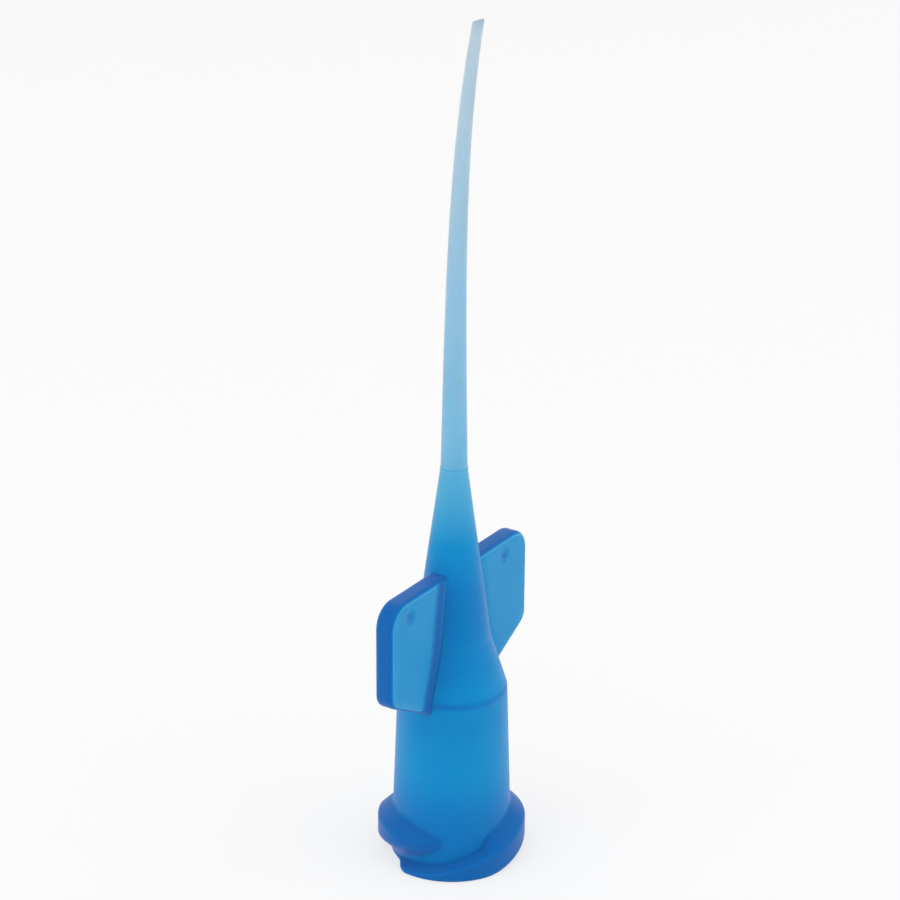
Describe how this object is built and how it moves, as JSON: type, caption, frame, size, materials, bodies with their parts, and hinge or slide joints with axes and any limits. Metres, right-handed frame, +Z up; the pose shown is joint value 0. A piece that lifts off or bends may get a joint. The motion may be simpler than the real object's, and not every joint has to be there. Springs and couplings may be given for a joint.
{
  "type": "dispensing needle tip",
  "caption": "Moulded translucent blue luer-lock dispensing tip: threaded hub, grip wings, long cone and a thin tapered flexible tube with a slight bend.",
  "frame": {"origin": "centre of the hub's mouth, on the axis of the luer socket", "axes": "+Z up the hub axis towards the tube's tip, X along the grip wings, the tube bends towards -Y"},
  "size_m": [0.0126, 0.0078, 0.0449],
  "materials": {
    "blue_polypropylene": "satin"
  },
  "bodies": {
    "root": {"needle_tip": "blue_polypropylene"}
  },
  "joints": []
}
